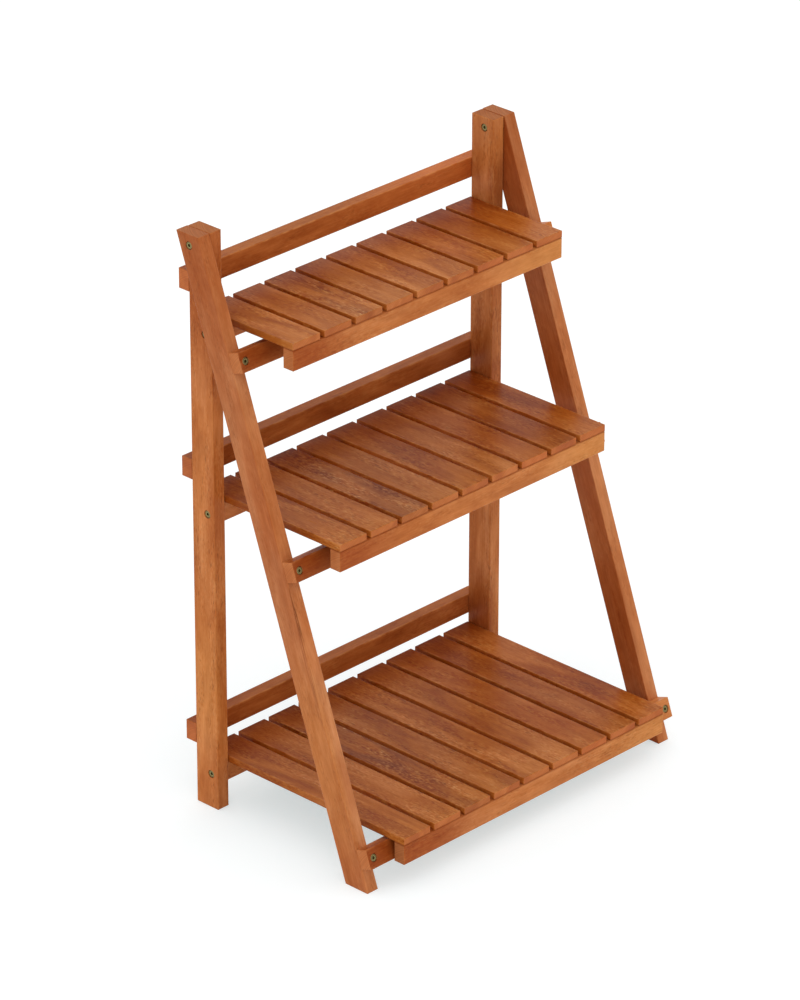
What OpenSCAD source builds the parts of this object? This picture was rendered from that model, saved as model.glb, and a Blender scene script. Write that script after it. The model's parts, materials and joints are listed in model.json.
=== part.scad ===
// Folding plant stand in slatted hardwood, drawn open and ready for use.
// A rear frame of two upright posts carries three slatted shelves, each hinged at its back edge.
// A front frame of two leaning legs hangs from a bolt near the top of each post.
// The three crossbars of the front frame hold the shelves level.
// To fold it, the shelves swing up between the posts and the legs swing back beside the posts.
// Millimetres. X runs along the shelves, Y from front to back and Z up from the floor.

/* [Stand] */
// Height of the stand when it is open
stand_h = 920; // [880:5:960]
// Width over the outer faces of the two legs
stand_w = 646; // [600:2:700]
// Distance that the front feet stand ahead of the posts
spread = 328; // [320:1:336]

/* [Boards] */
// Thickness of the posts and the legs
post_t = 22; // [20:1:24]
// Depth of a post from front to back
post_d = 44; // [42:1:46]
// Depth of a leg, measured square to the leg
leg_d = 42; // [40:1:44]
// Thickness of the rear rails and the crossbars
rail_t = 21; // [19:0.5:21.5]
// Thickness of the rear bar and the front rail of a shelf
bar_t = 20; // [19:0.5:20.5]
// Height of the rear rails and of the bars and rails of the shelves
rail_h = 32; // [29:0.5:32]
// Height of the crossbars
crossbar_h = 31; // [29:0.5:32]
// Radius on the edges of the posts, the legs, the rails and the bars
edge_r = 1.5; // [1:0.5:2.5]

/* [Shelves] */
// Heights of the bottom, middle and top shelf surfaces
shelf_top = [82.5, 505.5, 787.5]; // [82:0.5:790]
// Distance that each shelf reaches ahead of the posts
shelf_reach = [356, 230, 139.5]; // [139:0.5:358]
// Distance that each crossbar lies below the slats of its shelf
crossbar_drop = [0.4, 16.6, 7.4]; // [0.4:0.1:17]
// Heights of the undersides of the three rear rails
rear_rail_z = [96, 523.5, 817]; // [96:0.5:820]
// Slats in one shelf
slat_n = 9; // [9]
// Width of a slat
slat_w = 54; // [50:0.5:55]
// Thickness of a slat
slat_t = 11; // [10:0.5:12]
// Radius on the edges of a slat
slat_edge_r = 1; // [0.5:0.5:2]
// Width and height of the two bearers under the slats
bearer = 20; // [18:1:22]

/* [Joints] */
// Depth of the leg bolts behind the front faces of the posts
leg_pivot_y = 19; // [19:0.5:22]
// Distance of the leg bolts below the top of the posts
leg_pivot_drop = 17; // [16:0.5:20]
// Depth of the shelf screws behind the front faces of the posts
shelf_pivot_y = 14; // [13:0.5:15]
// Gap between a leg and the post beside it
leg_gap = 1; // [1:0.1:1.5]
// Gap between a shelf and the post beside it
shelf_gap = 1; // [1:0.1:3]

/* [Hardware] */
// Diameter of the flat screw heads
head_d = 10.5; // [9:0.5:11]
// Diameter of the holes that the screw heads are sunk in
sink_d = 12.5; // [12:0.5:13]
// Size of the hex sockets across their corners
socket_d = 5.6; // [5:0.1:6]

/* [Hidden] */
$fn = 48;
EPS = 0.01;
tiers = ["bottom", "middle", "top"];
tier_ids = [0 : 2];
slat_ids = [1 : slat_n];

// the fits: play of a shaft in its bore, and room between faces that move past each other
play = 0.05;
room = 0.4;

// screws: flat heads with a hex socket, sunk a little below the wood
head_h = 3;
sunk = 1;
shoulder_r = 3;
thread_r = 2.5;
socket_h = 2;
thread_hold = 25;
shelf_thread_hold = 20;
// the sleeve nut and the bolt that screws into it, at each leg pivot
barrel_r = 4;
bolt_r = 3;
washer_r = 8;
washer_t = 0.6;
spacer_r = 7;
// small screws that come up through the bars into the slats
slat_screw_r = 1.75;
slat_head_r = 3.5;
slat_head_h = 2.2;
slat_sink_r = 4;
slat_bar_web = 12;
slat_hold = 8;

post_out = stand_w / 2 - post_t - leg_gap;
post_in = post_out - post_t;
shelf_w = 2 * (post_in - shelf_gap);
slat_gap = (shelf_w - slat_n * slat_w) / (slat_n - 1);
leg_pivot_z = stand_h - leg_pivot_drop;
lean = atan(spread / stand_h);
leg_len = stand_h / cos(lean);
// moves the origin to the floor under the middle of the stand
origin_y = (shelf_reach[0] - post_d - rail_t) / 2;

WOOD = "#b5673a";
SLAT = "#a3603c";
BRASS = "#8f8558";

function slat_names(t) = [for (k = slat_ids) str(tiers[t], "_slat_", k)];
function shelf_names(t) = concat(slat_names(t),
    [for (part = ["rear_bar", "front_rail", "bearers", "slat_screws", "pivot_screws"]) str(tiers[t], "_", part)]);

// ---- heights and places that several parts share ----

function under_slats(t) = shelf_top[t] - slat_t;
function shelf_pivot_z(t) = under_slats(t) - rail_h / 2;
function slat_x(k) = -shelf_w / 2 + slat_w / 2 + (k - 1) * (slat_w + slat_gap);
// height of the front top edge of a crossbar, and how far down the leg its top face lies
function crossbar_z(t) = under_slats(t) - crossbar_drop[t];
function crossbar_down(t) = (stand_h + rail_t * sin(lean) - crossbar_z(t)) / cos(lean);
function crossbar_y(t) = -crossbar_down(t) * sin(lean) - rail_t * cos(lean);

// ---- shapes ----

// rectangle with round corners, centred
module round_rect(w, h, r) {
    square([w - 2 * r, h], center = true);
    square([w, h - 2 * r], center = true);
    for (x = [-1, 1])
        for (y = [-1, 1])
            translate([x * (w / 2 - r), y * (h / 2 - r)]) circle(r);
}

// board centred on the origin, with the sharpness taken off all its edges
module board(size, r = edge_r) {
    intersection() {
        linear_extrude(size.z, center = true) round_rect(size.x, size.y, r);
        rotate([90, 0, 0]) linear_extrude(size.y, center = true) round_rect(size.x, size.z, r);
        rotate([90, 0, 90]) linear_extrude(size.x, center = true) round_rect(size.y, size.z, r);
    }
}

// board given by its low corner and its high corner
module board_between(low, high, r = edge_r) {
    translate((low + high) / 2) board(high - low, r);
}

// cylinder from z = 0 down to z = -h
module down(r, h) {
    translate([0, 0, -h]) cylinder(r = r, h = h);
}

// screw along Z: the underside of its head is at z = 0 and its thread ends at z = -(grip + hold)
module screw(grip, hold) {
    difference() {
        cylinder(d = head_d, h = head_h);
        translate([0, 0, head_h - socket_h]) cylinder(d = socket_d, h = socket_h + EPS, $fn = 6);
    }
    down(shoulder_r, grip);
    translate([0, 0, -grip]) down(thread_r, hold);
}

// the hole for a screw's head, its shoulder and its thread
module screw_hole(grip, hold) {
    cylinder(d = sink_d, h = head_h + sunk + room);
    translate([0, 0, EPS]) down(shoulder_r + play, grip + EPS);
    down(thread_r + play, grip + hold);
}

// puts a thing in both halves of the stand, the left one as its mirror image
module both_sides() {
    for (side = [0, 1]) mirror([side, 0, 0]) children();
}

// turns Z outwards along +X
module facing_out() {
    rotate([0, 90, 0]) children();
}

// the frame of the leaning legs: -Z runs down the front face of a leg and -Y points out of it
module on_leg() {
    translate([0, 0, stand_h]) rotate([-lean, 0, 0]) children();
}

// moves everything from the front faces of the posts to the middle of the stand
module placed() {
    translate([0, origin_y, 0]) children();
}

// ---- rear frame ----

module at_leg_pivot() {
    translate([0, leg_pivot_y, leg_pivot_z]) children();
}

module at_shelf_pivot(t) {
    translate([0, shelf_pivot_y, shelf_pivot_z(t)]) facing_out() children();
}

// seats of the screw heads, counted along +X from the middle of the stand
leg_bolt_seat = stand_w / 2 - head_h - sunk;
leg_nut_seat = post_in + head_h + sunk;
shelf_screw_seat = post_out - head_h - sunk;

module right_post() {
    difference() {
        board_between([post_in, 0, 0], [post_out, post_d, stand_h]);
        at_leg_pivot() facing_out() {
            cylinder(r = barrel_r + play, h = stand_w);
            cylinder(d = sink_d, h = leg_nut_seat);
        }
        for (t = tier_ids) {
            at_shelf_pivot(t) {
                cylinder(r = shoulder_r + play, h = stand_w);
                translate([0, 0, shelf_screw_seat - room]) cylinder(d = sink_d, h = post_t);
            }
            rear_rail_screw_place(t) down(thread_r + play, rail_t + thread_hold);
        }
    }
}

module post_right() {
    color(WOOD) placed() right_post();
}

module post_left() {
    color(WOOD) placed() mirror([1, 0, 0]) right_post();
}

// seat of the head of a rear rail screw, with Z pointing backwards
module rear_rail_screw_place(t) {
    translate([(post_in + post_out) / 2, post_d + rail_t - head_h - sunk, rear_rail_z[t] + rail_h / 2])
        rotate([-90, 0, 0]) children();
}

module rear_rail(t) {
    color(WOOD) placed() difference() {
        board_between([-post_out, post_d, rear_rail_z[t]],
            [post_out, post_d + rail_t, rear_rail_z[t] + rail_h]);
        both_sides() rear_rail_screw_place(t) screw_hole(rail_t, thread_hold);
    }
}

module rear_rail_screws() {
    color(BRASS) placed() both_sides() for (t = tier_ids)
        rear_rail_screw_place(t) screw(rail_t - head_h - sunk, thread_hold);
}

// ---- leg pivots, fixed in the posts: the legs turn on the barrels of the nuts ----

module leg_pivot_nuts() {
    barrel = leg_bolt_seat - leg_nut_seat - 1;
    color(BRASS) placed() both_sides() at_leg_pivot() facing_out() difference() {
        union() {
            translate([0, 0, leg_nut_seat - head_h]) cylinder(d = head_d, h = head_h);
            translate([0, 0, leg_nut_seat]) cylinder(r = barrel_r, h = barrel);
        }
        translate([0, 0, leg_nut_seat - head_h - EPS]) cylinder(d = socket_d, h = socket_h, $fn = 6);
        translate([0, 0, leg_nut_seat + 4]) cylinder(r = bolt_r + play, h = barrel);
    }
}

module leg_pivot_bolts() {
    shank = leg_bolt_seat - leg_nut_seat - 8;
    color(BRASS) placed() both_sides() at_leg_pivot() facing_out()
        translate([0, 0, leg_bolt_seat + room]) {
            difference() {
                cylinder(d = head_d, h = head_h);
                translate([0, 0, head_h - socket_h]) cylinder(d = socket_d, h = socket_h + EPS, $fn = 6);
            }
            down(bolt_r, shank);
        }
}

// flat ring on the outer face of a post
module leg_pivot_washers() {
    color(BRASS) placed() both_sides() at_leg_pivot() facing_out()
        translate([0, 0, post_out]) difference() {
            cylinder(r = washer_r, h = washer_t);
            translate([0, 0, -EPS]) cylinder(r = barrel_r + play, h = 2 * washer_t);
        }
}

// ring on the inner face of a post that keeps a shelf in the middle
module shelf_pivot_washers() {
    ring = shelf_gap - room;
    color(BRASS) placed() both_sides() for (t = tier_ids) at_shelf_pivot(t)
        translate([0, 0, post_in - ring]) difference() {
            cylinder(r = spacer_r, h = ring);
            translate([0, 0, -EPS]) cylinder(r = shoulder_r + play, h = 2 * ring);
        }
}

// ---- front frame ----

// side view of a leg, cut level at its top and at its foot, with the corners taken off
module leg_outline() {
    across = leg_d / cos(lean);
    corners = [[-spread, 0], [across - spread, 0], [across, stand_h], [0, stand_h]];
    n = len(corners);
    polygon([for (i = [0 : n - 1]) each [
        corners[i] + edge_r / 2 * unit(corners[(i + n - 1) % n] - corners[i]),
        corners[i] + edge_r / 2 * unit(corners[(i + 1) % n] - corners[i])]]);
}

function unit(v) = v / norm(v);

module right_leg() {
    leg_x = (stand_w - post_t) / 2;
    difference() {
        intersection() {
            translate([leg_x, 0, 0]) rotate([90, 0, 90])
                linear_extrude(post_t, center = true) leg_outline();
            on_leg() translate([leg_x, leg_d / 2, 0])
                linear_extrude(3 * leg_len, center = true) round_rect(post_t, leg_d, edge_r);
            translate([leg_x, 0, stand_h / 2]) rotate([90, 0, 0])
                linear_extrude(3 * spread, center = true) round_rect(post_t, stand_h, edge_r / 2);
        }
        at_leg_pivot() facing_out() {
            cylinder(r = barrel_r + play, h = stand_w);
            translate([0, 0, leg_bolt_seat]) cylinder(d = sink_d, h = post_t);
        }
        for (t = tier_ids)
            crossbar_screw_place(t) down(thread_r + play, rail_t - head_h - sunk + thread_hold);
    }
}

module leg_right() {
    color(WOOD) placed() right_leg();
}

module leg_left() {
    color(WOOD) placed() mirror([1, 0, 0]) right_leg();
}

// seat of the head of a crossbar screw, with Z pointing out of the front face of the leg
module crossbar_screw_place(t) {
    on_leg() translate([(stand_w - post_t) / 2, head_h + sunk - rail_t, -crossbar_down(t) - crossbar_h / 2])
        rotate([90, 0, 0]) children();
}

module crossbar(t) {
    color(WOOD) placed() difference() {
        on_leg() board_between([-stand_w / 2, -rail_t, -crossbar_down(t) - crossbar_h],
            [stand_w / 2, 0, -crossbar_down(t)]);
        both_sides() crossbar_screw_place(t) screw_hole(rail_t, thread_hold);
    }
}

module crossbar_screws() {
    color(BRASS) placed() both_sides() for (t = tier_ids)
        crossbar_screw_place(t) screw(rail_t - head_h - sunk, thread_hold);
}

// ---- shelves ----

// places of the screws that hold the slats: in the rear bar and in the front rail
module at_slat_screws(t, slats) {
    for (k = slats)
        for (y = [shelf_pivot_y, bar_t / 2 - shelf_reach[t]])
            translate([slat_x(k), y, under_slats(t)]) children();
}

module slat(t, k) {
    color(SLAT) placed() difference() {
        board_between([slat_x(k) - slat_w / 2, -shelf_reach[t], under_slats(t)],
            [slat_x(k) + slat_w / 2, post_d, shelf_top[t]], slat_edge_r);
        at_slat_screws(t, [k]) translate([0, 0, -EPS]) cylinder(r = slat_screw_r + play, h = slat_hold + EPS);
    }
}

module slat_screws(t) {
    color(BRASS) placed() at_slat_screws(t, slat_ids) translate([0, 0, -slat_bar_web]) {
        down(slat_head_r, slat_head_h);
        cylinder(r = slat_screw_r, h = slat_bar_web + slat_hold);
    }
}

// the holes for the slat screws in the bar or the rail that carries them
module slat_screw_holes(t) {
    at_slat_screws(t, slat_ids) {
        down(slat_screw_r + play, rail_h);
        translate([0, 0, -slat_bar_web]) down(slat_sink_r, rail_h);
    }
}

// the bar between the posts that the shelf turns on
module rear_bar(t) {
    color(WOOD) placed() difference() {
        board_between([-shelf_w / 2, shelf_pivot_y - bar_t / 2, under_slats(t) - rail_h],
            [shelf_w / 2, shelf_pivot_y + bar_t / 2, under_slats(t)]);
        slat_screw_holes(t);
        both_sides() at_shelf_pivot(t)
            translate([0, 0, shelf_w / 2 - shelf_thread_hold]) cylinder(r = thread_r + play, h = post_t);
    }
}

module front_rail(t) {
    color(WOOD) placed() difference() {
        board_between([-shelf_w / 2, -shelf_reach[t], under_slats(t) - rail_h],
            [shelf_w / 2, bar_t - shelf_reach[t], under_slats(t)]);
        slat_screw_holes(t);
    }
}

module pivot_screws(t) {
    color(BRASS) placed() both_sides() at_shelf_pivot(t)
        translate([0, 0, shelf_screw_seat]) screw(shelf_screw_seat - shelf_w / 2, shelf_thread_hold);
}

// the cut that seats a bearer on the top face of its crossbar: its two sides lie along the crossbar's
module bearer_seat(t) {
    shoulder = 2;
    y0 = crossbar_y(t) - shoulder;
    z0 = crossbar_z(t) + room + shoulder * tan(lean);
    low = under_slats(t) - bearer - 1;
    rotate([90, 0, 90]) linear_extrude(shelf_w, center = true)
        polygon([[y0, z0], [y0 - (z0 - low) * tan(lean), low], [y0 + (z0 - low) / tan(lean), low]]);
}

// two bearers under the slats join the rear bar to the front rail and rest on the crossbar;
// where the crossbar reaches the slats they end behind it
module bearers(t) {
    reaches_rail = crossbar_drop[t] > room;
    front = reaches_rail ? bar_t - shelf_reach[t] : crossbar_y(t) + bearer / 2;
    color(WOOD) placed() difference() {
        both_sides() board_between([slat_x(slat_n - 1) - bearer / 2, front, under_slats(t) - bearer],
            [slat_x(slat_n - 1) + bearer / 2, shelf_pivot_y - bar_t / 2, under_slats(t)]);
        bearer_seat(t);
    }
}

// ---- the stand ----

post_left();
post_right();
rear_rail_screws();
leg_left();
leg_right();
crossbar_screws();
leg_pivot_bolts();
leg_pivot_nuts();
leg_pivot_washers();
shelf_pivot_washers();
for (t = tier_ids) {
    rear_rail(t);
    crossbar(t);
    rear_bar(t);
    front_rail(t);
    bearers(t);
    slat_screws(t);
    pivot_screws(t);
    for (k = slat_ids)
        slat(t, k);
}
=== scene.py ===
import json
import math

import bpy
import numpy as np
from mathutils import Matrix, Vector


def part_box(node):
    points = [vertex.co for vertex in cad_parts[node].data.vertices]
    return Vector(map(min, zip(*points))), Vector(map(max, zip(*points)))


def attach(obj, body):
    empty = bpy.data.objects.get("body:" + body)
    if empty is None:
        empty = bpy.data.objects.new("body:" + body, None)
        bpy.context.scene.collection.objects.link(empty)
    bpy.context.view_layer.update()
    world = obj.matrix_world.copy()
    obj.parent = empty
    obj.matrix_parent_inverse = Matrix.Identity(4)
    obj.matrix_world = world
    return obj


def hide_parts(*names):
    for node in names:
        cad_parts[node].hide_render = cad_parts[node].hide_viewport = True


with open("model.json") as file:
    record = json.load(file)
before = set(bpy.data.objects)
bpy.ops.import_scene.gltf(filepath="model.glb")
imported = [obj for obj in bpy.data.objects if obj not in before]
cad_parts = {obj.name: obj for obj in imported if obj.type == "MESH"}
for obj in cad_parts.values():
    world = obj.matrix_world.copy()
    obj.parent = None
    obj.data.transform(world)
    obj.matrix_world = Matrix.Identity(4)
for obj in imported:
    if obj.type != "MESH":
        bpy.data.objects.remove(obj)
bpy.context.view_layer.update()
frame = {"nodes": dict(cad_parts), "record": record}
nodes = frame["nodes"]
bodies = frame["record"]["behaviour"]["bodies"]
bodyOf = {node: body for body, names in bodies.items() for node in names}
print("frame:", len(nodes), "CAD nodes")


def linear(code):
    # sRGB hex to linear colour
    parts = [int(code[i:i + 2], 16) / 255 for i in (1, 3, 5)]
    return tuple(p / 12.92 if p <= 0.04045 else ((p + 0.055) / 1.055) ** 2.4 for p in parts) + (1.0,)


def addNode(tree, kind, inputs=(), ramp=None, **settings):
    # adds a node; settings are its properties, inputs are numbers, nodes or sockets, in a row or by name,
    # and ramp gives its colour stops
    made = tree.nodes.new("ShaderNode" + kind)
    for key, value in settings.items():
        setattr(made, key, value)
    if not isinstance(inputs, dict):
        free = [key for key, socket in enumerate(made.inputs) if not socket.is_unavailable]
        inputs = dict(zip(free, inputs))
    for key, value in inputs.items():
        if isinstance(value, bpy.types.Node):
            value = next(socket for socket in value.outputs if not socket.is_unavailable)
        if isinstance(value, bpy.types.NodeSocket):
            tree.links.new(value, made.inputs[key])
        else:
            made.inputs[key].default_value = value
    if ramp:
        stops = made.color_ramp.elements
        while len(stops) < len(ramp):
            stops.new(0.5)
        for stop, (place, colour) in zip(stops, ramp):
            stop.position = place
            stop.color = linear(colour)
    return made


def startMaterial(name):
    material = bpy.data.materials.new(name)
    material.use_nodes = True
    material.node_tree.nodes.clear()
    return material, material.node_tree


view = {
    "aim": (-0.0169, 0.04969, 0.43957),   # the point at the middle of the picture
    "azimuth": -46.029,
    "elevation": 26.116,
    "roll": -0.081,
    "distance": 8.3019,
    "lens": 257.253,             # millimetres, on a sensor of this width
    "sensorWidth": 36,
    "farthest": 60,
}


def addCamera():
    turn, rise = math.radians(view["azimuth"]), math.radians(view["elevation"])
    back = Vector((math.sin(turn) * math.cos(rise), -math.cos(turn) * math.cos(rise), math.sin(rise)))
    right = Vector((math.cos(turn), math.sin(turn), 0))
    axes = Matrix((right, back.cross(right), back)).transposed()
    axes = axes @ Matrix.Rotation(math.radians(-view["roll"]), 3, "Z")
    data = bpy.data.cameras.new("studioCamera")
    data.lens = view["lens"]
    data.sensor_width = view["sensorWidth"]
    data.sensor_fit = "HORIZONTAL"
    data.clip_end = view["farthest"]
    camera = bpy.data.objects.new("studioCamera", data)
    spot = Vector(view["aim"]) + back * view["distance"]
    camera.matrix_world = Matrix.Translation(spot) @ axes.to_4x4()
    bpy.context.scene.collection.objects.link(camera)
    bpy.context.scene.camera = camera


addCamera()
print("camera set")

studio = {
    "horizonLevel": 0.42,        # the sky's strength at eye level and overhead
    "zenithLevel": 1.35,
    "keyPower": 18,              # watts of the large soft lamp
    "keySize": 2.6,
    "keyPlace": (-3.4, -3.6, 1.9),
    "keyAim": (0, 0, 0.45),
    "floorSize": 30,
    "floorPaint": "#fafafa",     # the white that the floor throws back on the stand
    "shownPaint": "#c7c0c0",     # what the camera sees: paint that the glow lifts to the backdrop's white
    "shownGlow": "#eefeff",
    "glowLevel": 0.56,
}


def backdropRays(tree):
    # 1 for rays that show the backdrop itself: seen by the camera, mirrored or through glass
    path = addNode(tree, "LightPath")
    seen = path.outputs["Is Camera Ray"]
    for kind in ("Is Glossy Ray", "Is Transmission Ray"):
        seen = addNode(tree, "Math", (seen, path.outputs[kind]), operation="MAXIMUM")
    return seen


def addSky():
    world = bpy.data.worlds.new("studioSky")
    bpy.context.scene.world = world
    world.use_nodes = True
    tree = world.node_tree
    tree.nodes.clear()
    place = addNode(tree, "TexCoord")
    split = addNode(tree, "SeparateXYZ", (place.outputs["Generated"],))
    levels = (studio["horizonLevel"], studio["zenithLevel"])
    level = addNode(tree, "MapRange", (split.outputs["Z"], 0.0, 1.0, *levels))
    light = addNode(tree, "Background", {"Color": (1, 1, 1, 1), "Strength": level})
    white = addNode(tree, "Background", {"Color": (1, 1, 1, 1), "Strength": 1.0})
    addNode(tree, "OutputWorld", (addNode(tree, "MixShader", (backdropRays(tree), light, white)),))


def addKeyLamp():
    lamp = bpy.data.lights.new("keyLamp", "AREA")
    lamp.shape = "DISK"
    lamp.size = studio["keySize"]
    lamp.energy = studio["keyPower"]
    key = bpy.data.objects.new("keyLamp", lamp)
    key.location = studio["keyPlace"]
    key.rotation_euler = (Vector(studio["keyAim"]) - key.location).to_track_quat("-Z", "Y").to_euler()
    bpy.context.scene.collection.objects.link(key)


def addFloor():
    half = studio["floorSize"] / 2
    corners = [(-half, -half, 0), (half, -half, 0), (half, half, 0), (-half, half, 0)]
    mesh = bpy.data.meshes.new("floor")
    mesh.from_pydata(corners, [], [(0, 1, 2, 3)])
    floor = bpy.data.objects.new("floor", mesh)
    bpy.context.scene.collection.objects.link(floor)
    material, tree = startMaterial("paintedFloor")      # matt white studio paint
    paint = addNode(tree, "BsdfDiffuse", (linear(studio["floorPaint"]),))
    shown = addNode(tree, "BsdfDiffuse", (linear(studio["shownPaint"]),))
    glow = addNode(tree, "Emission", (linear(studio["shownGlow"]), studio["glowLevel"]))
    shown = addNode(tree, "AddShader", (shown, glow))
    addNode(tree, "OutputMaterial", (addNode(tree, "MixShader", (backdropRays(tree), paint, shown)),))
    mesh.materials.append(material)


addSky()
addKeyLamp()
addFloor()
bpy.context.scene.view_settings.view_transform = "Standard"
print("studio set")

wood = {
    "frameTones": ("#b76830", "#c4763d", "#cf834b"),     # dark, middle and light
    "legTones": ("#be6f3c", "#c77b49", "#ce8857"),
    # the rear rails' tones are darker than the frame's: painted shade, as they stand behind the shelves
    "shadedRailTones": ("#964a1d", "#a75826", "#b86731"),
    "slatTones": ("#8f4715", "#a35a20", "#b26a33"),
    # the three right-hand slats: darker and redder, painted shade of the right leg and post
    "warmSlatTones": ("#8c4111", "#9f5118", "#ad6129"),
    "rosyTone": "#80401c",       # dusky patches of older heartwood
    "poreTone": "#652c10",
    "endTone": "#be704a",        # paler, rougher end grain
    "shadeTone": "#9c4816",      # painted shade: the legs' left sides, the uprights' upper ends, the front rails' left ends, by the shelves
    "darkTone": "#86390f",       # the darkest red-brown: painted shade at the slats' rear ends, the crossbars' and rear rails' left ends, by the shelves and in the creases
    "paleTone": "#de964f",       # painted light: the slats' front ends, the front rails' right ends, low on the left leg's and left post's left sides
    # painted light on the top rear rail's right part
    "paleRailTone": "#cf6e31",
    "gapShadeTone": "#a85214",     # painted shade on the slats' sides, in the gaps between them
    "topShadeTone": "#915112",      # painted shade on the rear rails' tops
    "edgeTone": "#cf8d55",       # arrises rubbed lighter
    "patterns": {                # noises: mm along and across the grain, octaves, roughness, distortion
        "patches": (190, 42, 2, 0.5, 0.8),
        "rosy": (120, 30, 3, 0.55, 0.6),
        "crowd": (95, 16, 2, 0.5, 0.3),         # where the pores gather
        "mottle": (26, 9, 2, 0.55, 0.0),
        "streaks": (55, 1.9, 3, 0.6, 0.1),
        "grit": (7, 3.0, 1, 0.5, 0.0),          # sanded fibres, really 0.3 mm; drawn coarser to show
        "flecks": (11, 1.9, 2, 0.55, 0.0),      # real pores are 0.2 mm wide; drawn coarser to show
    },
    # a span is the two values of a noise or a measure between which its effect changes
    "noiseSpan": (0.3, 0.7),
    "toneStops": (0.34, 0.50, 0.66),
    "rosySpan": (0.42, 0.66),
    "rosyGain": 1.2,
    "sideSpan": (0.5, 0.9),              # how squarely a face looks the tinted way
    "tintOvalSpan": (0.2, 1.1),             # shares of the oval's reach
    "checkSpan": (0.54, 0.46),           # the streaks that break up a drying check
    "checkLevels": (0.1, 1.0),
    "shades": {"mottle": (0.05, 0.03), "streaks": (0.03, 0.05)},  # how far each scales and bends the colour
    "raisedSpan": (0.40, 0.60),
    "raisedGain": (1.5, 6),              # the fibres where pores are few, and where they crowd
    "driftSpan": (0.42, 0.62),
    "poreLimits": (0.70, 0.56),          # between the drifts and in them
    "poreSoftness": 0.08,
    "poreGain": 0.7,
    "wornSpan": (0.40, 0.62),
    "edgeWidth": 2.4,                    # millimetres, as are the next three
    "seamReach": (2.4, 0.8),
    "heartPlace": (0, 38, 55),           # from a board's middle to the heart of the tree
    "ringWidth": 1.6,
    "seamShare": 0.5,
    "endSpan": (0.70, 0.85),
    "endShare": 0.35,
    "ringSpan": (0.35, 0.65),
    "ringContrast": 0.08,
    "glossSpread": (0.07, -0.05),        # added to the roughness in the dark and the light streaks
    "endRoughness": 0.25,
    "grooveShare": 0.5,
    "bumpStrength": 0.30,
    "bumpHeight": 0.00012,               # metres
    "ior": 1.45,
    "specular": 0.10,
}


def tintOval(at, reach, tone, share, broken=False):
    # an oval of tone: its middle as a share of the board's half sizes, and its reach in millimetres;
    # most are painted shade and painted light, and a broken one is a drying check, broken up by the streaks
    return {"at": at, "reach": reach, "tone": tone, "share": share, "broken": broken}


def tintedSide(facing, tone, share, both=False):
    # painted shade on the faces that look one way, or that way and the opposite one
    return {"facing": facing, "tone": tone, "share": share, "both": both}


# how the boards differ: depth darkens or lightens, rosy is the share of dusky patches, flecks how many
# pores show, grit how strong the fibres are, wear how far the arrises are rubbed, ends how light the end
# grain is, and seam paints shade in the crease along the top (1) or the bottom (-1); side and the tint
# ovals carry painted shade and painted light, and the broken ovals are drying checks
plainBoard = {"tones": "frameTones", "depth": 1.0, "rosy": 0.2, "flecks": 0.5, "grit": 0.05, "wear": 0.3,
              "ends": 0.8, "side": None, "tintOvals": [], "seam": 0, "roughness": 0.36}
slatLook = [
    # slat 1's left side faces out of the shelf: a little of the painted gap shade there, none on its other
    # side
    {"depth": 1.06, "rosy": 0.10, "flecks": 0.7, "side": tintedSide((-1, 0, 0), "gapShadeTone", 0.15)},
    {"depth": 1.05, "rosy": 0.06, "flecks": 0.7},
    {"depth": 0.97, "rosy": 0.75, "flecks": 1.0, "grit": 0.22, "ends": 1.02},
    {"depth": 0.98, "rosy": 0.20, "flecks": 0.8},
    {"depth": 1.06, "rosy": 0.15, "flecks": 0.8},
    {"depth": 1.05, "rosy": 0.10, "flecks": 0.6},
    # slats 7 to 9: darker, redder tones as painted shade of the right leg and post
    {"depth": 1.00, "rosy": 0.10, "flecks": 0.6, "tones": "warmSlatTones", "ends": 1.26},
    {"depth": 0.95, "rosy": 0.20, "flecks": 0.6, "tones": "warmSlatTones"},
    {"depth": 1.02, "rosy": 0.06, "flecks": 0.7, "tones": "warmSlatTones"},
]
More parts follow.
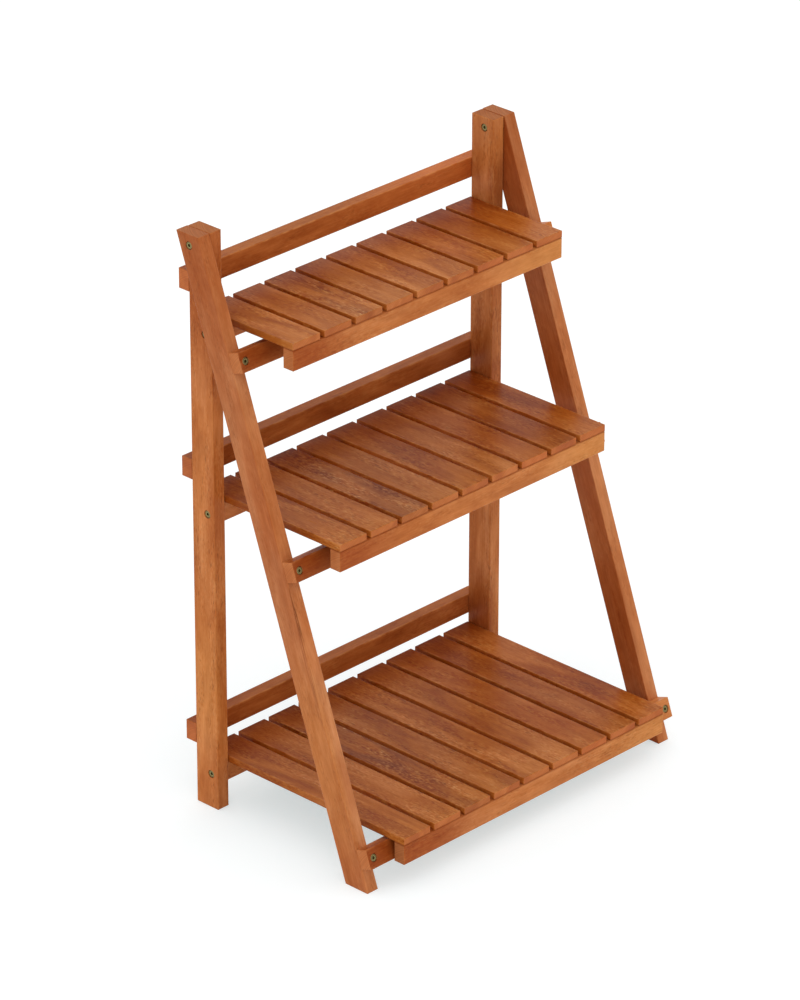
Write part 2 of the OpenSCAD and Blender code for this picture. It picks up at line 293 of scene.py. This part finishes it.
boardLook = {
    "slat": {"tones": "slatTones", "grit": 0.13, "wear": 0.4, "ends": 1.18, "roughness": 0.32, "seam": -1,
             # painted shade on both sides of each slat, in the gaps
             "side": tintedSide((-1, 0, 0), "gapShadeTone", 0.7, both=True),
             # painted shade at the rear ends and painted light at the front ends
             "tintOvals": [tintOval((1, 0, 0), (90, 80, 40), "darkTone", 0.6),
                        tintOval((-1, 0, 0), (70, 80, 40), "paleTone", 0.12)]},
    "front_rail": {"depth": 1.05, "rosy": 0.15, "flecks": 0.4, "grit": 0.07, "ends": 0.85, "seam": 1,
                   # painted shade at the left end, painted light at the right end, painted shade in the
                   # crease along the top
                   "tintOvals": [tintOval((-1, 0, 0), (150, 80, 80), "shadeTone", 0.9),
                              tintOval((1, 0, 0), (170, 80, 80), "paleTone", 0.45)]},
    "bottom_front_rail": {"depth": 1.02, "ends": 0.70,
                          # painted shade at the left end and painted light at the right end
                          "tintOvals": [tintOval((-1, 0, 0), (200, 80, 80), "shadeTone", 0.9),
                                     tintOval((1, 0, 0), (170, 80, 80), "paleTone", 0.45)]},
    "crossbar": {"depth": 1.08, "ends": 0.95,
                 # painted shadow of the shelf's front rail on the left end's front face
                 "tintOvals": [tintOval((-1, -0.95, 0.25), (190, 26, 45), "darkTone", 0.9)]},
    "rear_rail": {"tones": "shadedRailTones", "rosy": 0.1, "flecks": 0.4, "wear": 0.5, "ends": 1.1,
                  # painted shade on the tops and at the left end
                  "side": tintedSide((0, 0, 1), "topShadeTone", 0.35),
                  "tintOvals": [tintOval((-1, 0, 0), (130, 80, 80), "darkTone", 0.45)]},
    # painted shade on the top and at the left end, painted light on the right part
    "rear_rail_top": {"depth": 1.10, "side": tintedSide((0, 0, 1), "topShadeTone", 0.6),
                      "tintOvals": [tintOval((-1, 0, 0), (130, 80, 80), "darkTone", 0.6),
                                 tintOval((1, -1, 0), (330, 80, 80), "paleRailTone", 0.5)]},
    "leg": {"tones": "legTones", "flecks": 0.4, "grit": 0.04, "wear": 0.06, "ends": 0.68,
            # painted shade on the left side and at the upper end
            "side": tintedSide((-1, 0, 0), "shadeTone", 0.36),
            "tintOvals": [tintOval((1, 0, 0), (300, 80, 80), "shadeTone", 0.5)]},
    # painted shade at the upper end, low on the front and midway up the left side, painted light low on the
    # left side; the two broken ones are drying checks
    "leg_left": {"tintOvals": [tintOval((1, 0, 0), (280, 80, 80), "shadeTone", 0.5),
                            tintOval((-0.68, -1, 0), (70, 16, 30), "shadeTone", 0.4),
                            tintOval((0.06, 0, 1), (110, 40, 14), "shadeTone", 0.3),
                            tintOval((-0.6, 0, 1), (190, 50, 14), "paleTone", 0.25),
                            tintOval((-0.17, -1, 0.9), (55, 3, 3), "poreTone", 0.9, broken=True),
                            tintOval((-0.31, -0.9, 1), (80, 5, 3), "poreTone", 0.5, broken=True)]},
    # painted shade on the inner left side, at the upper end, on the front's upper part and low on the inner
    # side
    "leg_right": {"side": tintedSide((-1, 0, 0), "shadeTone", 0.68),
                  "tintOvals": [tintOval((1, 0, 0), (280, 80, 80), "shadeTone", 0.45),
                             tintOval((0.4, -1, -0.3), (220, 14, 40), "shadeTone", 0.25),
                             tintOval((-0.62, 0.2, 1), (150, 40, 14), "darkTone", 0.5)]},
    "post": {"flecks": 0.6, "grit": 0.07, "ends": 0.68},
    # painted shade at the upper end and on the front by the middle shelf, painted light low on the left side
    "post_left": {"depth": 1.04, "tintOvals": [tintOval((1, 0, 0), (350, 80, 80), "shadeTone", 0.75),
                                            tintOval((-0.56, 0, 1), (140, 40, 16), "paleTone", 0.3),
                                            tintOval((0.09, -1, 0), (130, 22, 30), "shadeTone", 0.45)]},
    # painted shade on the inner left side by the bottom and middle shelves, and on the front by the middle
    # and top shelves
    "post_right": {"tintOvals": [tintOval((-0.84, 0, 1), (150, 40, 16), "darkTone", 0.75),
                              tintOval((0.02, 0, 1), (150, 40, 16), "darkTone", 0.6),
                              tintOval((0.08, -1, 0), (60, 16, 30), "shadeTone", 0.5),
                              tintOval((0.78, -1, 0), (60, 16, 30), "darkTone", 0.45)]},
}


def boardNoises(tree, board, seed):
    # noises drawn out along the grain, and shifted so that no two boards are alike
    shifted = addNode(tree, "VectorMath", (board, seed), operation="ADD")
    noise = {}
    for key, (along, across, octaves, rough, distort) in wood["patterns"].items():
        scale = (1 / along, 1 / across, 1 / across)
        scaled = addNode(tree, "VectorMath", (shifted, scale), operation="MULTIPLY")
        noise[key] = addNode(tree, "TexNoise", {"Vector": scaled, "Scale": 1.0, "Detail": octaves,
                                                "Roughness": rough, "Distortion": distort})
    return noise


def boardTints(tree, look, board, normal, half, noise):
    # what lies over the broad tones, as tone and share: dusky patches, one side's painted shade, and the
    # ovals of painted shade, painted light and drying checks
    most = wood["rosyGain"] * look["rosy"]
    rosy = addNode(tree, "MapRange", (noise["rosy"], *wood["rosySpan"], 0.0, most))
    tints = [(wood["rosyTone"], rosy)]
    tinted = look["side"]
    if tinted:
        side = addNode(tree, "VectorMath", (normal, tinted["facing"]), operation="DOT_PRODUCT")
        side = side.outputs["Value"]
        if tinted["both"]:
            side = addNode(tree, "Math", (side,), operation="ABSOLUTE")
        side = addNode(tree, "MapRange", (side, *wood["sideSpan"], 0.0, tinted["share"]))
        tints.append((wood[tinted["tone"]], side))
    # ovals of painted shade and painted light, and the broken drying checks
    for spot in look["tintOvals"]:
        middle = [share * size for share, size in zip(spot["at"], half)]
        away = addNode(tree, "VectorMath", (board, middle), operation="SUBTRACT")
        away = addNode(tree, "VectorMath", (away, spot["reach"]), operation="DIVIDE")
        away = addNode(tree, "VectorMath", (away,), operation="LENGTH").outputs["Value"]
        patch = addNode(tree, "MapRange", (away, *wood["tintOvalSpan"], spot["share"], 0.0),
                        interpolation_type="SMOOTHSTEP")
        if spot["broken"]:
            lines = (noise["streaks"], *wood["checkSpan"], *wood["checkLevels"])
            patch = addNode(tree, "Math", (patch, addNode(tree, "MapRange", lines)), operation="MULTIPLY")
        tints.append((wood[spot["tone"]], patch))
    return tints


def shadeGrain(tree, look, colour, noise):
    # soft mottling and fine streaks scale the colour, and with the fibres they also bend it with a gamma,
    # so that the dark ones are redder and the light ones paler
    level, bend = look["depth"], 1.0
    for key, (scale, curve) in wood["shades"].items():
        shade = addNode(tree, "MapRange", (noise[key], *wood["noiseSpan"], 1 - scale, 1 + scale))
        level = addNode(tree, "Math", (level, shade), operation="MULTIPLY")
        shade = addNode(tree, "MapRange", (noise[key], *wood["noiseSpan"], 1 + curve, 1 - curve))
        bend = addNode(tree, "Math", (bend, shade), operation="MULTIPLY")
    # the fibres stand up most where the pores are crowded
    gains = [gain * look["grit"] for gain in wood["raisedGain"]]
    raised = addNode(tree, "MapRange", (noise["crowd"], *wood["raisedSpan"], *gains))
    fibres = addNode(tree, "Math", (0.5, noise["grit"]), operation="SUBTRACT")
    fibres = addNode(tree, "Math", (fibres, raised), operation="MULTIPLY")
    bend = addNode(tree, "Math", (bend, fibres), operation="ADD")
    colour = addNode(tree, "Gamma", (colour, bend))
    return addNode(tree, "VectorMath", {0: colour, "Scale": level}, operation="SCALE")


def poreShare(tree, look, noise):
    # short pores in drifts: the noise counts as a pore where it rises above a limit, lower in the drifts
    limit = addNode(tree, "MapRange", (noise["crowd"], *wood["driftSpan"], *wood["poreLimits"]))
    above = addNode(tree, "Math", (noise["flecks"], limit), operation="SUBTRACT")
    most = wood["poreGain"] * look["flecks"]
    return addNode(tree, "MapRange", (above, 0.0, wood["poreSoftness"], 0.0, most))


def rubbedShare(tree, look, board, half, noise):
    # the second smallest distance to the board's faces is the distance to its nearest edge
    inside = addNode(tree, "VectorMath", (board,), operation="ABSOLUTE")
    inside = addNode(tree, "VectorMath", (half, inside), operation="SUBTRACT")
    gap = addNode(tree, "SeparateXYZ", (inside,))
    low = addNode(tree, "Math", (gap.outputs[0], gap.outputs[1]), operation="MINIMUM")
    high = addNode(tree, "Math", (gap.outputs[0], gap.outputs[1]), operation="MAXIMUM")
    high = addNode(tree, "Math", (high, gap.outputs[2]), operation="MINIMUM")
    edge = addNode(tree, "Math", (low, high), operation="MAXIMUM")
    edge = addNode(tree, "MapRange", (edge, 0.0, wood["edgeWidth"], 1.0, 0.0))
    worn = addNode(tree, "MapRange", (noise["mottle"], *wood["wornSpan"], 0.0, look["wear"]))
    return addNode(tree, "Math", (edge, worn), operation="MULTIPLY")


def seamShare(tree, look, board, half):
    # painted shade in the crease along the joint, where two parts meet
    far, near = wood["seamReach"]
    axes = addNode(tree, "SeparateXYZ", (board,))
    seam = addNode(tree, "Math", (axes.outputs[2], look["seam"]), operation="MULTIPLY")
    return addNode(tree, "MapRange", (seam, half[2] - far, half[2] - near, 0.0, wood["seamShare"]))


def endGrain(tree, look, board, tones, seam):
    # growth rings round a heart that lies outside the board
    heart = addNode(tree, "VectorMath", (board, wood["heartPlace"]), operation="ADD")
    heart = addNode(tree, "VectorMath", (heart, (0, 1, 1)), operation="MULTIPLY")
    radius = addNode(tree, "VectorMath", (heart,), operation="LENGTH").outputs["Value"]
    radius = addNode(tree, "Math", (radius, wood["ringWidth"]), operation="DIVIDE")
    rings = addNode(tree, "TexNoise", {"W": radius, "Scale": 1.0, "Detail": 1.0}, noise_dimensions="1D")
    levels = (look["ends"] - wood["ringContrast"], look["ends"] + wood["ringContrast"])
    level = addNode(tree, "MapRange", (rings.outputs[0], *wood["ringSpan"], *levels))
    mixed = (wood["endShare"], tones.outputs[0], linear(wood["endTone"]))
    colour = addNode(tree, "Mix", mixed, data_type="RGBA")
    # the painted crease shade runs on over the end faces
    if seam:
        colour = addNode(tree, "Mix", (seam, colour, linear(wood["darkTone"])), data_type="RGBA")
    return addNode(tree, "VectorMath", {0: colour, "Scale": level}, operation="SCALE")


def oiledWood(name, look, turn, centre, half, seed):
    # oiled eucalyptus, planed and sanded: satin red-brown, cloudy, with short dark pores along the grain
    material, tree = startMaterial(name)
    place = addNode(tree, "TexCoord")
    normal = place.outputs["Normal"]
    # the pattern's space is the board's own: millimetres from its middle, X along the grain
    millimetres = (0.001, 0.001, 0.001)
    board = addNode(tree, "Mapping", (place.outputs["Object"], centre, turn.to_euler(), millimetres),
                    vector_type="TEXTURE")
    noise = boardNoises(tree, board, seed)

    stops = list(zip(wood["toneStops"], wood[look["tones"]]))
    tones = addNode(tree, "ValToRGB", (noise["patches"],), ramp=stops)
    colour = tones.outputs[0]
    # the tints lay the dusky patches, painted shade, painted light and drying checks over the tones
    for tone, share in boardTints(tree, look, board, normal, half, noise):
        colour = addNode(tree, "Mix", (share, colour, linear(tone)), data_type="RGBA")
    colour = shadeGrain(tree, look, colour, noise)

    pores = poreShare(tree, look, noise)
    colour = addNode(tree, "Mix", (pores, colour, linear(wood["poreTone"])), data_type="RGBA")
    worn = rubbedShare(tree, look, board, half, noise)
    colour = addNode(tree, "Mix", (worn, colour, linear(wood["edgeTone"])), data_type="RGBA")
    # painted shade in the crease along the joint
    seam = seamShare(tree, look, board, half) if look["seam"] else None
    if seam:
        colour = addNode(tree, "Mix", (seam, colour, linear(wood["darkTone"])), data_type="RGBA")

    ends = addNode(tree, "VectorMath", (normal, turn @ Vector((1, 0, 0))), operation="DOT_PRODUCT")
    ends = addNode(tree, "Math", (ends.outputs["Value"],), operation="ABSOLUTE")
    ends = addNode(tree, "MapRange", (ends, *wood["endSpan"], 0.0, 1.0))
    endColour = endGrain(tree, look, board, tones, seam)
    colour = addNode(tree, "Mix", (ends, colour, endColour), data_type="RGBA")

    roughness = [look["roughness"] + more for more in wood["glossSpread"]]
    gloss = addNode(tree, "MapRange", (noise["streaks"], *wood["noiseSpan"], *roughness))
    gloss = addNode(tree, "Math", (ends, wood["endRoughness"], gloss), operation="MULTIPLY_ADD")
    height = addNode(tree, "Math", (noise["streaks"], wood["grooveShare"]), operation="MULTIPLY")
    height = addNode(tree, "Math", (height, pores), operation="SUBTRACT")
    bump = addNode(tree, "Bump", {"Height": height, "Strength": wood["bumpStrength"],
                                  "Distance": wood["bumpHeight"]})
    shader = addNode(tree, "BsdfPrincipled", {"Base Color": colour, "Roughness": gloss, "Normal": bump,
                                              "IOR": wood["ior"], "Specular IOR Level": wood["specular"]})
    addNode(tree, "OutputMaterial", (shader,))
    return material


stand = {"spread": 0.328, "height": 0.920}      # metres from the legs' feet to the posts, and to the tops
lean = math.atan(stand["spread"] / stand["height"])
# turns that lay the pattern's X along the grain; Y and Z are the board's other two sides
upright = Matrix.Rotation(-math.pi / 2, 3, "Y")
leaning = Matrix.Rotation(-lean, 3, "X")
frontToBack = Matrix.Rotation(math.pi / 2, 3, "Z")
sideways = Matrix.Identity(3)
turnOf = {"slat": frontToBack, "bearers": frontToBack, "post": upright, "leg": leaning @ upright,
          "crossbar": leaning, "front_rail": sideways, "rear_rail": sideways, "rear_bar": sideways}
# half sizes in millimetres of the boards that lean
halfOf = {"leg": (490, 21, 11), "crossbar": (323, 10.5, 15.5)}
hardware = ("screws", "bolts", "nuts", "washers")
boards = [name for name in sorted(nodes) if not any(word in name for word in hardware)]
patternReach = 4000      # millimetres within which the boards' patterns start


def dressBoards():
    chance = np.random.default_rng(7)
    for name in boards:
        kind = next(k for k in turnOf if k in name)
        low, high = (np.array(corner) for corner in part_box(name))
        turn = turnOf[kind]
        measured = np.abs(np.array(turn.transposed()) @ (high - low)) * 1000 / 2
        half = halfOf.get(kind, tuple(measured))
        look = {**plainBoard, **boardLook.get(kind, {}), **boardLook.get(name, {})}
        if kind == "slat":
            look.update(slatLook[int(name[-1]) - 1])
        seed = tuple(chance.uniform(-patternReach, patternReach, 3))
        material = oiledWood("oiledEucalyptus_" + name, look, turn, tuple((low + high) / 2), half, seed)
        nodes[name].material_slots[0].material = material


dressBoards()
print("wood:", len(boards), "boards")

plating = {
    "darkTone": "#474022",
    "lightTone": "#746a41",
    "rubbedTone": "#b0a370",
    "tarnishScale": 900.0,       # to a metre, so the spots are about a millimetre
    "tarnishStops": (0.35, 0.65),
    "tarnishSpan": (0.3, 0.7),
    "roughness": (0.50, 0.36),
}
# lengths in millimetres
bigHead = {
    "headRadius": 5.25,
    "headHeight": 3.0,
    "socketRadius": 2.8,         # in the bevelled mouth; the corners of the wall lie at 0.88 of it
    "socketDepth": 2.0,
    "rim": 0.45,                 # rounding round the head
    "rimRows": 6,
    "threadDepth": 0.42,
    "rowsToAPitch": 6,
    "columns": 48,
    "sharpAngle": 38,            # degrees above which an edge stays sharp
    "hollow": 0.0,               # radius of the bore in the end, where there is one
}
smallHead = {**bigHead, "headRadius": 3.5, "headHeight": 2.2, "socketRadius": 1.5, "socketDepth": 1.3,
             "columns": 18}
longScrew = {**bigHead, "length": 45, "shankRadius": 3, "threadStart": 20, "threadRadius": 2.5, "pitch": 1.6}
shelfScrew = {**bigHead, "length": 42, "shankRadius": 3, "threadStart": 22, "threadRadius": 2.5, "pitch": 1.6}
legBolt = {**bigHead, "length": 32, "shankRadius": 3, "threadStart": 12, "threadRadius": 3, "pitch": 1.25}
# a plain barrel: the thread would start where it ends
sleeveNut = {**bigHead, "length": 39, "shankRadius": 4, "threadStart": 39, "threadRadius": 4, "pitch": 1.25,
             "hollow": 3.05, "hollowDepth": 6, "hollowTip": 7}
slatScrew = {**smallHead, "length": 22.2, "shankRadius": 1.75, "threadStart": 6, "threadRadius": 1.75,
             "pitch": 1.4}


def antiqueBrass():
    # steel plated with brass, darkened in a bath and tumbled: olive brown, with brighter rubbed rims
    material, tree = startMaterial("antiqueBrassPlatedSteel")
    place = addNode(tree, "TexCoord")
    rubbed = addNode(tree, "Attribute", attribute_name="rubbed")
    tarnish = addNode(tree, "TexNoise", {"Vector": place.outputs["Object"], "Scale": plating["tarnishScale"],
                                         "Detail": 3.0})
    stops = list(zip(plating["tarnishStops"], (plating["darkTone"], plating["lightTone"])))
    colour = addNode(tree, "ValToRGB", (tarnish,), ramp=stops)
    mixed = (rubbed.outputs["Fac"], colour.outputs[0], linear(plating["rubbedTone"]))
    colour = addNode(tree, "Mix", mixed, data_type="RGBA")
    rough = addNode(tree, "MapRange", (tarnish, *plating["tarnishSpan"], *plating["roughness"]))
    shader = addNode(tree, "BsdfPrincipled", {"Base Color": colour, "Metallic": 1.0, "Roughness": rough})
    addNode(tree, "OutputMaterial", (shader,))
    return material


def looseSolids(node):
    # the solids of a CAD node: points joined by edges share the lowest of their numbers
    mesh = nodes[node].data
    points = np.empty(3 * len(mesh.vertices))
    mesh.vertices.foreach_get("co", points)
    points, index = np.unique(points.reshape(-1, 3).round(6), axis=0, return_inverse=True)
    ends = np.empty(2 * len(mesh.edges), int)
    mesh.edges.foreach_get("vertices", ends)
    ends = index.ravel()[ends].reshape(-1, 2)
    label = np.arange(len(points))
    while True:
        low = label[ends].min(1)
        lower = label.copy()
        np.minimum.at(lower, ends[:, 0], low)
        np.minimum.at(lower, ends[:, 1], low)
        if (lower == label).all():
            return [points[label == k] for k in np.unique(label)]
        label = lower[lower]


def headPlaces(node, outward):
    # for each solid of the node: the middle of its head's top face, and a turn that lays Z along its axis,
    # outwards
    places = []
    for points in looseSolids(node):
        middle = (points.min(0) + points.max(0)) / 2
        axis = np.array(outward, float)
        if axis[0]:
            axis *= np.sign(middle[0])
        turn = np.array(Vector(axis).to_track_quat("Z", "Y").to_matrix())
        local = points @ turn
        centre = (local.min(0) + local.max(0)) / 2
        centre[2] = local[:, 2].max()
        places.append((turn @ centre, turn))
    return places


def headRows(screw):
    # rows of (radius, height, hexagon share, thread share, rubbed) from the middle outwards: the socket's
    # floor and wall, the flat top, a quarter circle round the rim, and the underside of the head
    r, h, s = screw["headRadius"], screw["headHeight"], screw["socketRadius"]
    rim, depth = screw["rim"], screw["socketDepth"]
    bend = np.linspace(0.2, 1, screw["rimRows"]) * math.pi / 2
    none = 0 * bend
    socket = [(0, -depth - 0.5, 0, 0, 0),            # the floor dips to its middle
              (0.86 * s, -depth, 1, 0, 0),
              (0.88 * s, -depth, 1, 0, 0),           # the wall
              (0.88 * s, -0.35, 1, 0, 0),
              (0.90 * s, -0.25, 1, 0, 0.2),          # the bevelled mouth
              (1.12 * s, 0.0, 0, 0, 0.9)]
    flat = [(1.2 * s, 0.0, 0, 0, 0.3),
            (r - 2.2 * rim, 0.0, 0, 0, 0.1),
            (r - 1.3 * rim, -0.03, 0, 0, 0.4)]
    curve = np.column_stack([r - rim + rim * np.sin(bend), rim * np.cos(bend) - rim, none, none, 0.9 + none])
    shank = screw["shankRadius"]
    under = [(r, -h + 0.25, 0, 0, 0.3),              # a small bevel under the head
             (r - 0.15, -h, 0, 0, 0.3),
             (shank + 0.2, -h, 0, 0, 0),             # a small bevel on to the shank
             (shank, -h - 0.2, 0, 0, 0)]
    return [socket, flat, curve, under]


def threadRows(screw):
    # the rows of the thread, which fades out over one pitch at both of its ends
    start, length, shank = screw["threadStart"], screw["length"], screw["shankRadius"]
    if start >= length:
        return [[(shank, -length + 0.3, 0, 0, 0)]]
    rows = screw["rowsToAPitch"]
    steps = int((length - start) / screw["pitch"] * rows)
    k = np.arange(1, steps)
    down = start + (length - start) * k / steps
    fade = np.minimum(np.minimum(k, steps - k) / rows, 1)
    none = 0 * down
    return [[(shank, -start + 0.4, 0, 0, 0), (screw["threadRadius"], -start, 0, 0, 0)],
            np.column_stack([screw["threadRadius"] + none, -down, none, fade, none])]


def tipRows(screw):
    # the end of the shank, and in a nut the bore in it
    length, hollow = screw["length"], screw["hollow"]
    if not hollow:
        return [[(screw["threadRadius"] - 0.4, -length + 0.05, 0, 0, 0), (0, -length, 0, 0, 0)]]
    return [[(screw["threadRadius"] - 0.25, -length, 0, 0, 0), (hollow, -length, 0, 0, 0),
             (hollow, -length + screw["hollowDepth"], 0, 0, 0), (0, -length + screw["hollowTip"], 0, 0, 0)]]


def screwSurface(name, node, outward, screw):
    # the profile turned round Z: radius = r, or the hexagon's edge at that angle in the socket, or
    # r less a triangle wave of (height / pitch + angle / turn) on the thread
    profile = np.concatenate(headRows(screw) + threadRows(screw) + tipRows(screw))
    columns = screw["columns"]
    r, z, hexShare, threadShare, rubbed = (profile[1:-1, [k]] for k in range(5))
    angle = np.arange(columns)[None, :] * 2 * math.pi / columns
    hexagon = math.cos(math.pi / 6) / np.cos((angle + math.pi / 6) % (math.pi / 3) - math.pi / 6)
    wave = np.abs((z / screw["pitch"] + angle / (2 * math.pi)) % 1.0 - 0.5) * 2
    radius = r * (1 - hexShare + hexShare * hexagon) - threadShare * screw["threadDepth"] * wave
    rings = np.stack([radius * np.cos(angle), radius * np.sin(angle), z + 0 * angle], -1).reshape(-1, 3)
    # the first and the last row are single points, which fans of triangles join to the rings beside them
    poles = [(0, 0, profile[0, 1]), (0, 0, profile[-1, 1])]
    local = np.concatenate([rings, poles]) / 1000
    topPole, endPole = len(rings), len(rings) + 1

    i, j = np.meshgrid(np.arange(len(r) - 1), np.arange(columns), indexing="ij")
    k = (j + 1) % columns
    bands = np.stack([i * columns + j, (i + 1) * columns + j, (i + 1) * columns + k, i * columns + k], -1)
    j = np.arange(columns)
    k = (j + 1) % columns
    lastRing = (len(r) - 1) * columns
    topFan = np.stack([0 * j + topPole, j, k], -1)
    endFan = np.stack([lastRing + j, 0 * j + endPole, lastRing + k], -1)

    places = headPlaces(node, outward)
    points = np.concatenate([local @ turn.T + spot for spot, turn in places])
    faces = []
    for number in range(len(places)):
        for part in (bands.reshape(-1, 4), topFan, endFan):
            faces += (part + number * len(local)).tolist()
    mesh = bpy.data.meshes.new(name)
    mesh.from_pydata(points.tolist(), [], faces)
    mark = mesh.attributes.new("rubbed", "FLOAT", "POINT")
    marks = np.append(np.repeat(rubbed.ravel(), columns), (0, 0))
    mark.data.foreach_set("value", np.tile(marks, len(places)))
    mesh.polygons.foreach_set("use_smooth", [True] * len(faces))
    mesh.set_sharp_from_angle(angle=math.radians(screw["sharpAngle"]))
    piece = bpy.data.objects.new(name, mesh)
    bpy.context.scene.collection.objects.link(piece)
    piece.data.materials.append(brass)
    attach(piece, bodyOf[node])
    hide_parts(node)


brass = antiqueBrass()


def addScrews():
    # lengths, shanks and threads as in the CAD solids, the thread's crest on their surface
    outOfLeg = (0, -math.cos(lean), math.sin(lean))
    screwSurface("crossbarScrews", "crossbar_screws", outOfLeg, longScrew)
    screwSurface("rearRailScrews", "rear_rail_screws", (0, 1, 0), longScrew)
    screwSurface("legPivotBolts", "leg_pivot_bolts", (1, 0, 0), legBolt)
    screwSurface("legPivotNuts", "leg_pivot_nuts", (-1, 0, 0), sleeveNut)
    for tier in ("bottom", "middle", "top"):
        screwSurface(tier + "PivotScrews", tier + "_pivot_screws", (1, 0, 0), shelfScrew)
        screwSurface(tier + "SlatScrews", tier + "_slat_screws", (0, 0, -1), slatScrew)


def dressWashers():
    for name in sorted(nodes):
        if "washers" in name:
            nodes[name].material_slots[0].material = brass


addScrews()
dressWashers()
print("screws set")
